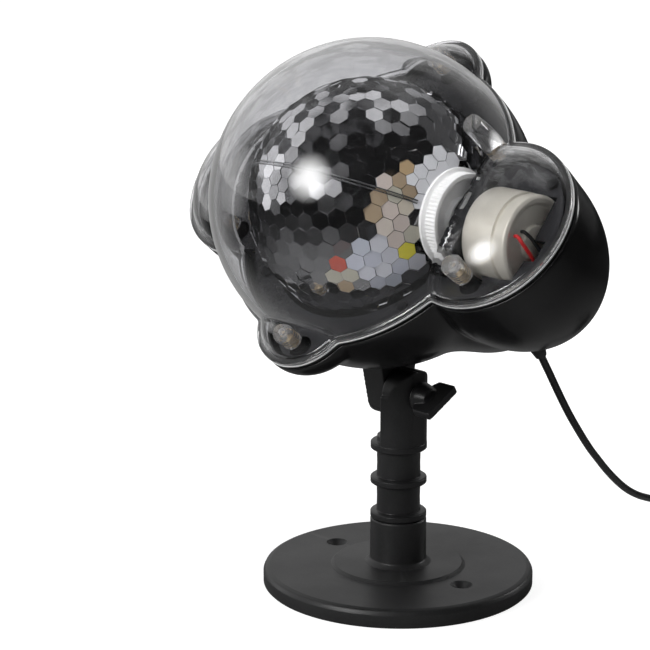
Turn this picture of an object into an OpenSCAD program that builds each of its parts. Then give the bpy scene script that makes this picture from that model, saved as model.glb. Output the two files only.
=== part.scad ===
// Light projector on a knuckle stand: a clear lobed dome over a turning mirror ball,
// a black lobed housing behind it, and a pole on a round base.
// Row frame: +Z up, origin at the centre of the base's underside, lens side towards -Y,
// hinge axis along X with the wing knob on +X.

/* [Stand] */
// Radius of the base disc
base_r = 54; // [50:1:60]
// Thickness of the base disc
base_h = 7.5; // [6:0.5:9]
// Radius of the raised step round the pole
step_r = 26; // [22:1:30]
// Distance of each screw hole from the centre
hole_x = 34.8; // [32:0.2:38]
// Radius of a screw hole's shank part
hole_r = 2.2; // [1.8:0.1:2.6]
// Radius of the pole's socket and collars
collar_r = 11.2; // [10.8:0.1:12]
// Radius of the bare pole
pole_r = 8.7; // [8:0.1:9]
// Height of the hinge axis above the floor
hinge_z = 79.2; // [78:0.1:82]

/* [Head] */
// Angle of the light's direction above the horizon
aim = 40.72; // [30:0.1:50]
// Distance of the dome's centre in front of the hinge
head_y = 16.78; // [16:0.1:18]
// Height of the dome's centre
head_z = 158.55; // [158:0.1:160]
// Outer radius of the clear dome
dome_r = 61.8; // [60:0.1:63]
// Radius of the rear bowl at the seam
bowl_r = 62.9; // [62:0.1:64]
// Sideways distance of the side lobes' centres
lobe_x = 60.5; // [59:0.1:61]
// Radius of the side lobes
lobe_r = 35.1; // [34:0.1:36]
// Distance of the screw ears' centres from the middle, up and down
ear_u = 51.6; // [51:0.1:53]
// Radius of the screw ears
ear_r = 22.1; // [21:0.1:23]
// Thickness of the black housing's wall
shell_t = 2.4; // [2:0.1:3]
// Thickness of the clear cover's wall
cover_t = 1.8; // [1.5:0.1:2]

/* [Mirror ball] */
// Radius of the mirror ball
ball_r = 47; // [46:0.5:47.5]
// Wall of the mirror ball
ball_t = 1.6; // [1.2:0.1:2]
// Where the ball is cut off for its hub
ball_cut = 43; // [42:0.5:44]

/* [Cable] */
// Diameter of the lead
cord_d = 3; // [3:0.1:3]
// Turns side by side in the coil
coil_wide = 6; // [6:1:6]
// Turns on top of each other in the coil
coil_high = 4; // [4:1:4]

/* [Hidden] */
$fn = 64;
slack = 0.3;
seam = -3.65;
groove = 2.4;
head_origin = [0, -head_y, head_z];
head_turn = [90 - aim, 0, 0];
SIDES = [-1, 1];

// Rear lobes behind the seam: straight depth, then a half ellipse that leans inward
lobe_straight = 12.8;
lobe_depth = 50.5;
lobe_lean = 6;
web_x = 30;
ear_depth = 24;
// Clear lobes in front of the seam
lobe_rise = 19.5;
ear_rise = 15.5;

// Cover screw posts in the seam plane: two in the ears, four beside the side lobes
POSTS = [[0, 63], [0, -63], [-64, -23], [62, -22], [48, 29], [-48, 29]];
post_r = 4.4;
screw_r = 1.5;
screw_depth = 12;
// Pillars for the inner panel, the driver board and the lamp
PANEL_SCREWS = [[37, 37], [-37, 37], [37, -37], [-37, -37]];
BOARD_SCREWS = [[-57.5, 11], [-57.5, -11]];
LAMP_SCREWS = [[9, 8], [-9, 8]];
small_r = 1.2;
panel_n = seam - 4;
board_n = -39;
lamp_n = -55.5;

// Hinge
knuckle_r = 10.2;
stud_r = 2.5;
stud_gap = 0.06;
nut_r = 4.6;
nut_h = 4;
seat_x = 10.6;
knob_x = 11.5;
knob_reach = 12.2;
wing_w = 17.6;
wing_t = 3.2;
wing_turn = 61.5;

BRACKET_SCREWS = [[-6, -4.6, 97.6], [-6, 4.6, 100.2]];

// Ball drive, along X through the dome's centre
hub_r = 19.6;
axle_r = 2.0;
run_gap = 0.05;
motor_r = 17.5;
motor_x = 58;
motor_end = 79;
motor_n = -8;
gear_x = 50.8;
gear_w = 30;
gear_top = 7.2;
bush_x = -50;
split_turn = 17;
saddle_x = 70.5;
BUSH_SCREWS = [[-62, 9], [-62, -9]];
MOTOR_SCREWS = [[75, 23], [75, -23]];

// Cord route from the gland to the coil, by hand
gland_p = [57.9, 15.2, 105.8];
gland_v = [-0.1, 0.58, -0.81];
gland_tip = 5;
ROUTE = [
    [56.7, 21.6, 97.2], [56.2, 24.6, 93.3], [55.7, 28.1, 88.4], [55.2, 32, 83], [54.6, 36.2, 77.4],
    [54, 40.6, 71.8], [53.1, 45.8, 65.9], [51.9, 51.4, 60], [50.5, 57.6, 53.9], [49, 64.4, 47.9],
    [47.2, 71.6, 41.8], [45.1, 79.4, 35.9], [42.9, 87.6, 30.2], [40.6, 96, 25.2], [38.1, 104.8, 20.8],
    [35.2, 113.8, 17], [31.8, 123, 13.4], [28.2, 132.4, 10.2], [24.2, 142, 7.2], [20, 152, 4.7],
    [16, 162, 2.6], [12.4, 172, 1.8], [9.9, 180, 1.6], [9.1, 186, 1.55]
];
coil_c = [34.7, 186];
coil_mid_r = 17.975;
coil_pitch = cord_d + 0.05;
tie_x = 17.975;
TAIL = [
    [34.7, 211.6, 10.7], [46.5, 211.2, 9.4], [57.5, 209.2, 6.2], [67.5, 204.8, 3.6],
    [75, 198, 2.7], [80.4, 190, 3.6], [82.4, 181, 5]
];
plug_p = [82.5, 181, 5];
plug_r = 5;
plug_len = 22;

// ---------- helpers ----------
module in_head() translate(head_origin) rotate(head_turn) children();
module along_x(x) translate([x, 0, 0]) rotate([0, 90, 0]) children();

// Solid of revolution: a straight wall, then half an ellipse of depth d below it; top is how far
// the wall goes above z = 0
module lobe(r, d, straight = 0, top = 0, steps = 10)
    rotate_extrude() polygon(concat([[0, top], [r, top]], straight > 0 || top > 0 ? [[r, 0]] : [],
        [for (i = [straight > 0 ? 0 : 1:steps])
            [i == steps ? 0 : r * cos(90 * i / steps), -straight - d * sin(90 * i / steps)]]));

// The lobed outline at the seam, grown or shrunk by g
module clover(g = 0) {
    circle(r = bowl_r + g, $fn = 96);
    for (s = SIDES) translate([s * lobe_x, 0]) circle(r = lobe_r + g);
    for (s = SIDES) translate([0, s * ear_u]) circle(r = ear_r + g);
}
// A lobed slab between two levels of the head frame
module slab(lo, hi, g = 0) translate([0, 0, lo]) linear_extrude(hi - lo) clover(g);

// Everything behind the seam, shrunk by g and cut off at the level top
module rear_form(g, top) intersection() {
    union() {
        translate([0, 0, seam]) sphere(r = bowl_r - g, $fn = 96);
        for (s = SIDES) translate([s * lobe_x, 0, seam]) rotate([0, s * lobe_lean, 0])
            lobe(lobe_r - g, lobe_depth - g, lobe_straight, 8);
        for (s = SIDES) translate([s * web_x, -3, -20])
            scale([34 - g, 33 - g, 58 - g] / 34) sphere(r = 34, $fn = 72);
        for (s = SIDES) translate([0, s * ear_u, seam]) lobe(ear_r - g, ear_depth - g, 1, 3);
    }
    translate([-120, -120, top - 120]) cube([240, 240, 120]);
}

// Everything in front of the seam, shrunk by g
module front_form(g = 0) {
    sphere(r = dome_r - g, $fn = 96);
    for (s = SIDES) translate([s * lobe_x, 0, seam]) mirror([0, 0, 1]) lobe(lobe_r - 1.2 - g, lobe_rise - g);
    for (s = SIDES) translate([0, s * ear_u, seam]) mirror([0, 0, 1]) lobe(ear_r - 1.2 - g, ear_rise - g);
}

// ---------- stand ----------
module base_disc() color("#262628") difference() {
    rotate_extrude($fn = 128) polygon([
        [0, 0], [base_r - 0.8, 0], [base_r, 0.8], [base_r, base_h - 2.4], [base_r - 0.7, base_h - 0.7],
        [base_r - 2.4, base_h], [step_r + 1, base_h], [step_r, base_h + 0.9], [step_r - 0.6, base_h + 1.2],
        [collar_r + 1.6, base_h + 1.2], [collar_r, base_h + 2.6], [collar_r, 27.4], [0, 27.4]]);
    translate([0, 0, 5]) cylinder(r = pole_r - 0.2, h = 30);
    for (s = SIDES) translate([s * hole_x, 0, 0]) {
        translate([0, 0, -1]) cylinder(r = hole_r, h = 10);
        translate([0, 0, base_h - 2.1]) cylinder(r1 = hole_r, r2 = hole_r + 2.2, h = 2.2);
    }
}

// One moulded ring round the pole, with chamfered edges
module collar(z, h, r = collar_r) translate([0, 0, z])
    rotate_extrude() polygon([[0, 0], [r - 0.7, 0], [r, 0.7], [r, h - 0.7], [r - 0.7, h], [0, h]]);

module pole() color("#232325") difference() {
    union() {
        translate([0, 0, 5]) cylinder(r = pole_r - 0.2, h = 23);
        translate([0, 0, 27.4]) cylinder(r = pole_r, h = 34);
        collar(27.4, 3);
        collar(41.7, 3);
        collar(55.9, 3.2);
        // half knuckle on the +X side, flat on X = 0
        intersection() {
            union() {
                translate([0, 0, 57]) cylinder(r = collar_r, h = hinge_z - 57);
                translate([0, 0, hinge_z]) along_x(0) cylinder(r = knuckle_r, h = collar_r);
            }
            translate([slack / 2, -20, 56.6]) cube([collar_r - slack / 2, 40, 60]);
            translate([0, 0, 50]) cylinder(r = collar_r, h = 60);
        }
    }
    translate([seat_x, -20, hinge_z - 7]) cube([5, 40, 20]);
    translate([0, 0, hinge_z]) along_x(-1) cylinder(r = stud_r + stud_gap, h = 20);
}

module hinge_stud() color("#a9a9a6") translate([0, 0, hinge_z])
    along_x(-9.4) cylinder(r = stud_r, h = 9.4 + knob_x + 5);
module hinge_nut() color("#a9a9a6") translate([0, 0, hinge_z]) difference() {
    along_x(-9.4) cylinder(r = nut_r, h = nut_h, $fn = 6);
    along_x(-10) cylinder(r = stud_r + run_gap, h = nut_h + 2);
}
module knob_washer() color("#b4b4b0") translate([0, 0, hinge_z]) difference() {
    along_x(seat_x) cylinder(r = 5, h = 0.8);
    along_x(seat_x - 1) cylinder(r = stud_r + stud_gap, h = 3);
}
module wing_knob() color("#222224") translate([0, 0, hinge_z]) difference() {
    union() {
        along_x(knob_x) cylinder(r1 = 6.4, r2 = 4, h = 6.5);
        rotate([-wing_turn, 0, 0]) translate([knob_x, 0, 0]) rotate([90, 0, 0])
            translate([0, 0, -wing_t / 2]) linear_extrude(wing_t) polygon([
                [2, -4.8], [2.8, -wing_w / 2 + 1.2], [4.2, -wing_w / 2], [knob_reach - 1, -wing_w / 2],
                [knob_reach, -wing_w / 2 + 1], [knob_reach, wing_w / 2 - 1], [knob_reach - 1, wing_w / 2],
                [4.2, wing_w / 2], [2.8, wing_w / 2 - 1.2], [2, 4.8]]);
    }
    along_x(knob_x - 1) cylinder(r = stud_r, h = 6);
}

// ---------- head shell ----------
// Half knuckle on the -X side and the flared neck that carries the housing
module head_bracket() color("#232325") difference() {
    union() {
        difference() {
            union() {
                translate([-collar_r, 0, hinge_z]) rotate([90, 0, 90])
                    linear_extrude(collar_r - slack / 2) hull() {
                        translate([0, -3.6]) circle(r = 6.6);
                        translate([-10.8, 14.5]) square([21.6, 1]);
                    }
                translate([-collar_r + 0.3, -8.6, hinge_z + 8]) cube([collar_r - 0.3 - slack / 2, 17.2, 16.5]);
                translate([0, 0, hinge_z + 15.1]) cylinder(r1 = 9.6, r2 = 17, h = 10);
            }
            in_head() translate([0, 0, seam]) sphere(r = bowl_r, $fn = 96);
        }
    }
    translate([0, 0, hinge_z]) {
        along_x(-20) cylinder(r = stud_r + stud_gap, h = 30);
        along_x(-11.6) cylinder(r = nut_r + 0.05, h = nut_h + 2.2, $fn = 6);
    }
    for (q = BRACKET_SCREWS) translate(q) translate([0, 0, -9]) cylinder(r = 1.4, h = 9);
}
module bracket_screws() color("#b9b9b6") for (q = BRACKET_SCREWS) translate(q) {
    translate([0, 0, -9]) cylinder(r = 1.4, h = 9);
    cylinder(r = 2.8, h = 1.8);
}

// A round pillar that stands on the shell's inside and ends at a level of the head frame
module pillar(p, r, top) translate([p.x, p.y, -90]) cylinder(r = r, h = top + 90);
module rear_housing() color("#1c1c1e") difference() {
    in_head() difference() {
        rear_form(0, seam);
        difference() {
            rear_form(shell_t, seam + 1);
            for (p = POSTS) pillar(p, post_r, seam + 2);
            for (p = PANEL_SCREWS) pillar(p, 3, panel_n);
            for (p = BOARD_SCREWS) pillar(p, 2.6, board_n);
            for (p = LAMP_SCREWS) pillar(p, 2.6, lamp_n);
        }
        for (p = POSTS) {
            pillar(p, screw_r, seam + 3);
            pillar(p, 3, seam - screw_depth);
        }
        for (p = PANEL_SCREWS) translate([p.x, p.y, panel_n - 6]) cylinder(r = small_r, h = 10);
    }
    for (q = BRACKET_SCREWS) translate(q) translate([0, 0, -9]) cylinder(r = 1.4, h = 12);
    translate(gland_p) orient(gland_v) {
        translate([0, 0, -14]) cylinder(r = 3, h = 30);
        translate([0, 0, -10.2]) cylinder(r = 4.9, h = 2.6);
    }
}
// Turns +Z into the direction v
module orient(v) rotate([0, acos(v.z / norm(v)), atan2(v.y, v.x)]) children();

module seal_ring() color("#0d0d0e") in_head() difference() {
    slab(seam, seam + groove, -0.9);
    slab(seam - 1, seam + groove + 1, -3.4);
    for (p = POSTS) translate([p.x, p.y, seam - 1]) cylinder(r = post_r + 0.4, h = 6);
}

module clear_cover() color([0.86, 0.88, 0.9, 0.35]) in_head() difference() {
    union() {
        intersection() {
            front_form(0);
            translate([-120, -120, seam + groove]) cube([240, 240, 120]);
        }
        slab(seam + groove, seam + groove + 2.4, 0);
    }
    difference() {
        intersection() {
            front_form(cover_t);
            translate([-120, -120, seam]) cube([240, 240, 120]);
        }
        for (p = POSTS) translate([p.x, p.y, seam + groove]) cylinder(r = post_r, h = 40);
    }
    for (p = POSTS) translate([p.x, p.y, seam]) cylinder(r = screw_r, h = groove + 7);
}
// Screws from behind: the head sits in the pillar's counterbore, the thread ends in the cover
module cover_screws() color("#b08a4a") in_head()
    for (p = POSTS) translate([p.x, p.y, seam - screw_depth]) {
        cylinder(r = screw_r, h = screw_depth + groove + 6.4);
        translate([0, 0, -2]) cylinder(r = 2.7, h = 2);
    }

// ---------- inside the head ----------
// Dark plate behind the ball, level with the seam, with openings for the ball and the motor
module inner_panel() color("#17171a") in_head() difference() {
    slab(panel_n, panel_n + 2, -5);
    translate([0, 0, -20]) cylinder(r = ball_r + 1.5, h = 30, $fn = 96);
    translate([30, -22, -20]) cube([20, 44, 30]);
    translate([40, -18, -20]) cube([39.6, 36, 30]);
    translate([76, -9, -20]) cube([9.2, 9, 30]);
    translate([-56, -9, -20]) cube([20, 18, 30]);
    for (p = POSTS) translate([p.x, p.y, -20]) cylinder(r = post_r + 0.4, h = 30);
    for (p = concat(PANEL_SCREWS, MOTOR_SCREWS, BUSH_SCREWS))
        translate([p.x, p.y, -20]) cylinder(r = small_r, h = 30);
}
// A small screw whose thread runs down from a level of the head frame
module small_screw(p, top, len) translate([p.x, p.y, top - len]) {
    cylinder(r = small_r, h = len);
    translate([0, 0, len]) cylinder(r = 2.2, h = 1.2);
}
module panel_screws() color("#7d7d7a") in_head()
    for (p = PANEL_SCREWS) small_screw(p, panel_n + 2, 7);

// One half of the mirror ball; the halves meet in a plane that holds the axle
module ball_half(side) color("#c9ccd0") in_head() difference() {
    sphere(r = ball_r, $fn = 96);
    sphere(r = ball_r - ball_t, $fn = 96);
    rotate([split_turn, 0, 0]) translate([-60, side > 0 ? -120 : 0, -60]) cube([120, 120, 120]);
    translate([ball_cut, -60, -60]) cube([60, 120, 120]);
    along_x(-60) cylinder(r = axle_r, h = 30);
}
module ball_half_front() ball_half(-1);
module ball_half_back() ball_half(1);

// Ribbed collar that closes the ball's cut end and takes the motor shaft
module ball_hub() color("#dcdcdc") in_head() difference() {
    union() {
        along_x(ball_cut) cylinder(r = hub_r, h = 1.6);
        along_x(ball_cut - 2) cylinder(r = 14.2, h = 2.1);
        along_x(ball_cut + 1.5) cylinder(r = hub_r - 2.6, h = 5);
        for (a = [0:12:359]) rotate([a, 0, 0])
            translate([ball_cut + 1.5, hub_r - 3.2, -0.9]) cube([5, 1.3, 1.8]);
    }
    along_x(ball_cut + 2.5) cylinder(r = hub_r - 5, h = 8);
    along_x(ball_cut - 4) cylinder(r = 2.5, h = 10);
}
module hub_cap() color("#8e8e8c") in_head() difference() {
    along_x(ball_cut + 2.5) cylinder(r = 7, h = 3.4);
    along_x(ball_cut) cylinder(r = 2.5, h = 10);
}
module motor_shaft() color("#b5b5b2") in_head()
    along_x(ball_cut - 3) cylinder(r = 2.5, h = motor_x + 2 - ball_cut);

// Gear case on the motor's front, through which the shaft runs to the ball
module gear_case() color("#17171a") in_head() difference() {
    union() {
        translate([gear_x, -gear_w / 2, gear_top - 26]) cube([motor_x - gear_x, gear_w, 26]);
        along_x(gear_x - 0.5) cylinder(r = 4.5, h = 1);
    }
    along_x(gear_x - 3) cylinder(r = 2.5 + run_gap, h = 12);
}
module motor_body() color("#d8d2c0") in_head() difference() {
    translate([0, 0, motor_n]) union() {
        along_x(motor_x) cylinder(r = motor_r, h = 14.6);
        along_x(motor_x + 14.5) cylinder(r = motor_r - 1, h = 1.4);
        along_x(motor_x + 15.8) cylinder(r = motor_r - 0.2, h = motor_end - motor_x - 15.8);
    }
    along_x(motor_x - 3) cylinder(r = 2.5 + run_gap, h = 6);
}
// Saddle that hangs from the panel and holds the motor's outer end
module motor_bracket() color("#17171a") in_head() difference() {
    union() {
        translate([saddle_x, -19.8, motor_n - 20]) cube([8, 39.6, panel_n - motor_n + 20]);
        translate([saddle_x, -26, panel_n - 2]) cube([8, 52, 2]);
    }
    translate([0, 0, motor_n]) along_x(motor_x) cylinder(r = motor_r, h = 40);
    for (p = MOTOR_SCREWS) translate([p.x, p.y, panel_n - 4]) cylinder(r = small_r, h = 8);
}
module motor_screws() color("#b9b9b6") in_head()
    for (p = MOTOR_SCREWS) small_screw(p, panel_n + 2, 5);
// Two leads from the motor's end, bent down behind it to the wiring space
module motor_wires() color("#a01818") in_head() for (s = SIDES)
    tube([[motor_end + 0.1, s * 1.6 - 3, 3 - s], [motor_end + 1.6, s * 1.6 - 3, 3 - s],
        [motor_end + 3.4, s * 2 - 4, 0.5 - s], [motor_end + 4, s * 2.2 - 5, -5],
        [motor_end + 3.8, s * 2.6 - 5.5, -16], [motor_end + 2.6, s * 2.8 - 5.5, -26],
        [motor_end - 3, s * 3 - 5, -36], [motor_end - 12, s * 3 - 4, -43]], 0.7, [0, 1, 0]);
module ball_axle() color("#b5b5b2") in_head() along_x(bush_x - 5) cylinder(r = axle_r, h = 12);
module axle_bush() color("#b08a4a") in_head() difference() {
    union() {
        along_x(bush_x - 4) cylinder(r = 4, h = 4);
        along_x(bush_x - 0.1) cylinder(r = 5.2, h = 1);
    }
    along_x(bush_x - 6) cylinder(r = axle_r + run_gap, h = 10);
}
module bush_bracket() color("#17171a") in_head() difference() {
    union() {
        along_x(bush_x - 4) cylinder(r = 8, h = 3.9);
        translate([bush_x - 4, -8, panel_n - 2]) cube([3.9, 16, 2 - panel_n]);
        translate([bush_x - 20, -12, panel_n - 2]) cube([19.9, 24, 2]);
    }
    along_x(bush_x - 6) cylinder(r = 4, h = 10);
    for (p = BUSH_SCREWS) translate([p.x, p.y, panel_n - 4]) cylinder(r = small_r, h = 8);
}
module bush_screws() color("#b9b9b6") in_head()
    for (p = BUSH_SCREWS) small_screw(p, panel_n + 2, 5);

module lamp_heatsink() color("#9a9c9e") in_head() difference() {
    translate([0, 8, lamp_n]) union() {
        cylinder(r = 13, h = 2);
        for (x = [-6:3:6]) translate([x - 0.5, -8, -2.6]) cube([1, 16, 2.7]);
    }
    for (p = LAMP_SCREWS) translate([p.x, p.y, lamp_n - 1]) cylinder(r = small_r, h = 5);
}
module lamp_board() color("#e8e8e4") in_head() difference() {
    translate([0, 8, lamp_n + 2]) cylinder(r = 11, h = 1.4);
    for (p = LAMP_SCREWS) translate([p.x, p.y, lamp_n]) cylinder(r = small_r, h = 5);
}
module lamp_screws() color("#b9b9b6") in_head()
    for (p = LAMP_SCREWS) small_screw(p, lamp_n + 3.4, 3.4);
module lamp_lens() color([0.95, 0.95, 0.9, 0.6]) in_head() translate([0, 8, lamp_n + 3.4]) {
    cylinder(r = 6, h = 1);
    translate([0, 0, 1]) intersection() {
        sphere(r = 4);
        cylinder(r = 5, h = 5);
    }
}
module lamp_wires() color("#c8c8c4") in_head() for (s = SIDES)
    tube([[-3, 8 + s * 8, lamp_n + 4.2], [-10, 8 + s * 9, lamp_n + 5.5], [-20, 6 + s * 6, lamp_n + 9],
        [-30, 2 + s * 3, -43], [-41, s * 3, board_n + 2.4]], 0.7);
module driver_board() color("#1f5a34") in_head() difference() {
    translate([-73, -14, board_n]) cube([32, 28, 1.6]);
    for (p = BOARD_SCREWS) translate([p.x, p.y, board_n - 2]) cylinder(r = small_r, h = 6);
}
module board_screws() color("#b9b9b6") in_head()
    for (p = BOARD_SCREWS) small_screw(p, board_n + 1.6, 1.6);
module driver_parts() color("#33343a") in_head() translate([0, 0, board_n + 1.6]) {
    translate([-68, -8, 0]) cylinder(r = 4, h = 9);
    translate([-63, -3, 0]) cube([9, 6, 4]);
    translate([-50, -9, 0]) cube([6, 5, 2.5]);
}

// ---------- lead ----------
module cord_gland() color("#111113") translate(gland_p) orient(gland_v) difference() {
    union() {
        translate([0, 0, -10.6]) cylinder(r = 3, h = 12.2);
        translate([0, 0, 1.5]) cylinder(r1 = 3, r2 = 2.3, h = gland_tip - 1.5);
    }
    translate([0, 0, -11]) cylinder(r = cord_d / 2, h = 20);
}
module gland_nut() color("#111113") translate(gland_p) orient(gland_v) difference() {
    translate([0, 0, -10]) cylinder(r = 4.8, h = 2.2, $fn = 6);
    translate([0, 0, -11]) cylinder(r = 3, h = 20);
}
// A tube of 8 sides swept along points, each ring square to the run there; side is any direction
// that the run never takes
function run_at(P, i) = let (a = P[max(i - 1, 0)], b = P[min(i + 1, len(P) - 1)]) (b - a) / norm(b - a);
function ring_at(P, i, r, side) = let (t = run_at(P, i), s = cross(t, side), u = s / norm(s), v = cross(u, t))
    [for (k = [0:7]) P[i] + r * (cos(45 * k) * u + sin(45 * k) * v)];
module tube(P, r, side = [0, 0, 1]) {
    n = len(P);
    polyhedron(
        points = [for (i = [0:n - 1]) each ring_at(P, i, r, side)],
        faces = concat([[for (k = [7:-1:0]) k]], [[for (k = [0:7]) 8 * (n - 1) + k]],
            [for (i = [0:n - 2], k = [0:7]) [8 * i + k, 8 * i + (k + 1) % 8,
                8 * (i + 1) + (k + 1) % 8, 8 * (i + 1) + k]]));
}
start_p = gland_p + (gland_tip + 0.3) * gland_v / norm(gland_v);
module cord() color("#0c0c0d") tube(concat([start_p], ROUTE), cord_d / 2);
module cord_tail() color("#0c0c0d") tube(TAIL, cord_d / 2);
module cord_coil() color("#0c0c0d") translate([coil_c.x, coil_c.y, 0]) rotate_extrude($fn = 96)
    translate([coil_mid_r - coil_wide * coil_pitch / 2, 0])
        square([coil_wide * coil_pitch, coil_high * coil_pitch]);
module coil_tie() color("#202022") {
    w = coil_wide * coil_pitch;
    h = coil_high * coil_pitch;
    translate([coil_c.x + tie_x, coil_c.y, 0]) difference() {
        translate([-w / 2 - 1.6, -3.5, 0]) cube([w + 2.6, 7, h + 0.9]);
        translate([-w / 2 - 0.8, -4, -1]) cube([w + 0.9, 8, h + 1]);
    }
}
module plug_body() color("#0f0f10") translate(plug_p) rotate([90, 0, 0]) rotate_extrude() polygon([
    [0, 0], [2.6, 0], [4, 5], [plug_r, 6], [plug_r, plug_len - 0.8], [plug_r - 0.8, plug_len], [0, plug_len]]);
module plug_barrel() color("#b8b8b4") translate(plug_p - [0, plug_len, 0]) rotate([90, 0, 0]) difference() {
    cylinder(r = 2.75, h = 9.5);
    translate([0, 0, 1]) cylinder(r = 1.05, h = 10);
}

base_disc();
pole();
hinge_stud();
hinge_nut();
wing_knob();
knob_washer();
head_bracket();
bracket_screws();
rear_housing();
seal_ring();
clear_cover();
cover_screws();
inner_panel();
panel_screws();
ball_half_front();
ball_half_back();
ball_hub();
hub_cap();
motor_shaft();
gear_case();
motor_body();
motor_bracket();
motor_screws();
motor_wires();
ball_axle();
axle_bush();
bush_bracket();
bush_screws();
lamp_board();
lamp_heatsink();
lamp_lens();
lamp_screws();
lamp_wires();
driver_board();
board_screws();
driver_parts();
cord_gland();
gland_nut();
cord();
cord_coil();
cord_tail();
coil_tie();
plug_body();
plug_barrel();
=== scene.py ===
import math
import random

import bmesh
import bpy
import numpy as np
from mathutils import Matrix, Vector


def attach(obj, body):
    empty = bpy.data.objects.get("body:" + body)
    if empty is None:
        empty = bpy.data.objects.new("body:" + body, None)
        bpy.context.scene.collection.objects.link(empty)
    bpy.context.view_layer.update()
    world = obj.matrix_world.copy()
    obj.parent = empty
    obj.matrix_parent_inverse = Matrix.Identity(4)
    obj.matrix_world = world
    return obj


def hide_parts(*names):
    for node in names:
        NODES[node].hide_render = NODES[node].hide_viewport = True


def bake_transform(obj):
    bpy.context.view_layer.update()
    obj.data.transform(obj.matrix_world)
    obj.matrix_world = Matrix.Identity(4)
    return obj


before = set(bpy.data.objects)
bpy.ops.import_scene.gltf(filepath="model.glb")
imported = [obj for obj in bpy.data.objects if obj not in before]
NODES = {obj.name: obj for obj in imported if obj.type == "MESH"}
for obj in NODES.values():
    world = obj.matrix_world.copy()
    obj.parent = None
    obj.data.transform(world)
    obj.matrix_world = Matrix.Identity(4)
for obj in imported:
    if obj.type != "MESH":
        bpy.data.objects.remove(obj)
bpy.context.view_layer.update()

MM = 0.001

# The head's own frame: x along the hinge, u up the face, n along the light; millimetres
AIM = math.radians(40.72)
HEAD = Matrix.Translation((0, -16.78, 158.55)) @ Matrix.Rotation(math.pi / 2 - AIM, 4, "X")
HINGE_Z = 79.2
HINGE = Matrix.Translation((0, 0, HINGE_Z))
SEAM, GROOVE = -3.65, 2.4
SIDES = (-1, 1)
ALONG_X = Matrix.Rotation(math.pi / 2, 4, "Y")


# ---------- mesh helpers: every shape is (points, faces) in millimetres ----------
def loft(rings, cap_start=False, cap_end=False, closed=False):
    """Skins rings of equal length; a ring of one point closes to a tip."""
    points, faces, starts = [], [], []
    for ring in rings:
        starts.append(len(points))
        points.extend(tuple(p) for p in ring)
    spans = list(zip(range(len(rings)), range(1, len(rings))))
    if closed:
        spans.append((len(rings) - 1, 0))
    for a, b in spans:
        na, nb, sa, sb = len(rings[a]), len(rings[b]), starts[a], starts[b]
        n = max(na, nb)
        for k in range(n):
            j = (k + 1) % n
            if na == 1:
                faces.append((sa, sb + j, sb + k))
            elif nb == 1:
                faces.append((sa + k, sa + j, sb))
            else:
                faces.append((sa + k, sa + j, sb + j, sb + k))
    if cap_start:
        faces.append(tuple(range(starts[0], starts[0] + len(rings[0])))[::-1])
    if cap_end:
        faces.append(tuple(range(starts[-1], starts[-1] + len(rings[-1]))))
    return points, faces


def rounded(outline, steps=4):
    """Outline of (a, b) or (a, b, radius) corners, with its corners rounded."""
    out = []
    n = len(outline)
    for i, p in enumerate(outline):
        r = p[2] if len(p) > 2 else 0
        if not r or i in (0, n - 1):
            out.append((p[0], p[1]))
            continue
        here, back, on = Vector(p[:2]), Vector(outline[i - 1][:2]), Vector(outline[i + 1][:2])
        da, db = (back - here).normalized(), (on - here).normalized()
        half = da.angle(db) / 2
        cut = min(r / math.tan(half), 0.49 * (back - here).length, 0.49 * (on - here).length)
        start, end = here + da * cut, here + db * cut
        for k in range(steps + 1):
            t = k / steps
            out.append(tuple(start * (1 - t) ** 2 + here * 2 * t * (1 - t) + end * t * t))
    return out


def lathe(outline, steps=96, wave=None):
    """Turns an outline of (radius, height, rounding) about the z axis; wave(angle, r, z) gives r."""
    rings = []
    for r, z in rounded(outline):
        if r < 1e-6:
            rings.append([(0, 0, z)])
            continue
        angles = [2 * math.pi * k / steps for k in range(steps)]
        rs = [wave(a, r, z) if wave else r for a in angles]
        rings.append([(q * math.cos(a), q * math.sin(a), z) for q, a in zip(rs, angles)])
    return loft(rings, cap_start=len(rings[0]) > 1, cap_end=len(rings[-1]) > 1)


def ring_lathe(outline, steps=96, wave=None):
    """A closed outline turned into a ring, such as a washer or a tube with walls."""
    rings = []
    for r, z in rounded(list(outline) + [outline[0]])[:-1]:
        angles = [2 * math.pi * k / steps for k in range(steps)]
        rs = [wave(a, r, z) if wave else r for a in angles]
        rings.append([(q * math.cos(a), q * math.sin(a), z) for q, a in zip(rs, angles)])
    return loft(rings, closed=True)


def moved(shape, matrix):
    """The shape, put through a matrix."""
    return [tuple(matrix @ Vector(p)) for p in shape[0]], shape[1]


def joined(*shapes):
    """Several shapes as one."""
    points, faces = [], []
    for p, f in shapes:
        base = len(points)
        points.extend(p)
        faces.extend(tuple(base + i for i in face) for face in f)
    return points, faces


def sweep(path, radius, sides=12):
    """A round tube along a path, its rings carried along without twist; radius may vary."""
    path = [Vector(p) for p in path]
    n = len(path)
    run = [(path[min(i + 1, n - 1)] - path[max(i - 1, 0)]).normalized() for i in range(n)]
    side = run[0].orthogonal().normalized()
    rings = []
    for i, p in enumerate(path):
        side = (side - run[i] * side.dot(run[i])).normalized()
        other = run[i].cross(side)
        r = radius(i / (n - 1)) if callable(radius) else radius
        rings.append([p + r * (math.cos(a) * side + math.sin(a) * other)
                      for a in (2 * math.pi * k / sides for k in range(sides))])
    return loft(rings, cap_start=True, cap_end=True)


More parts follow.
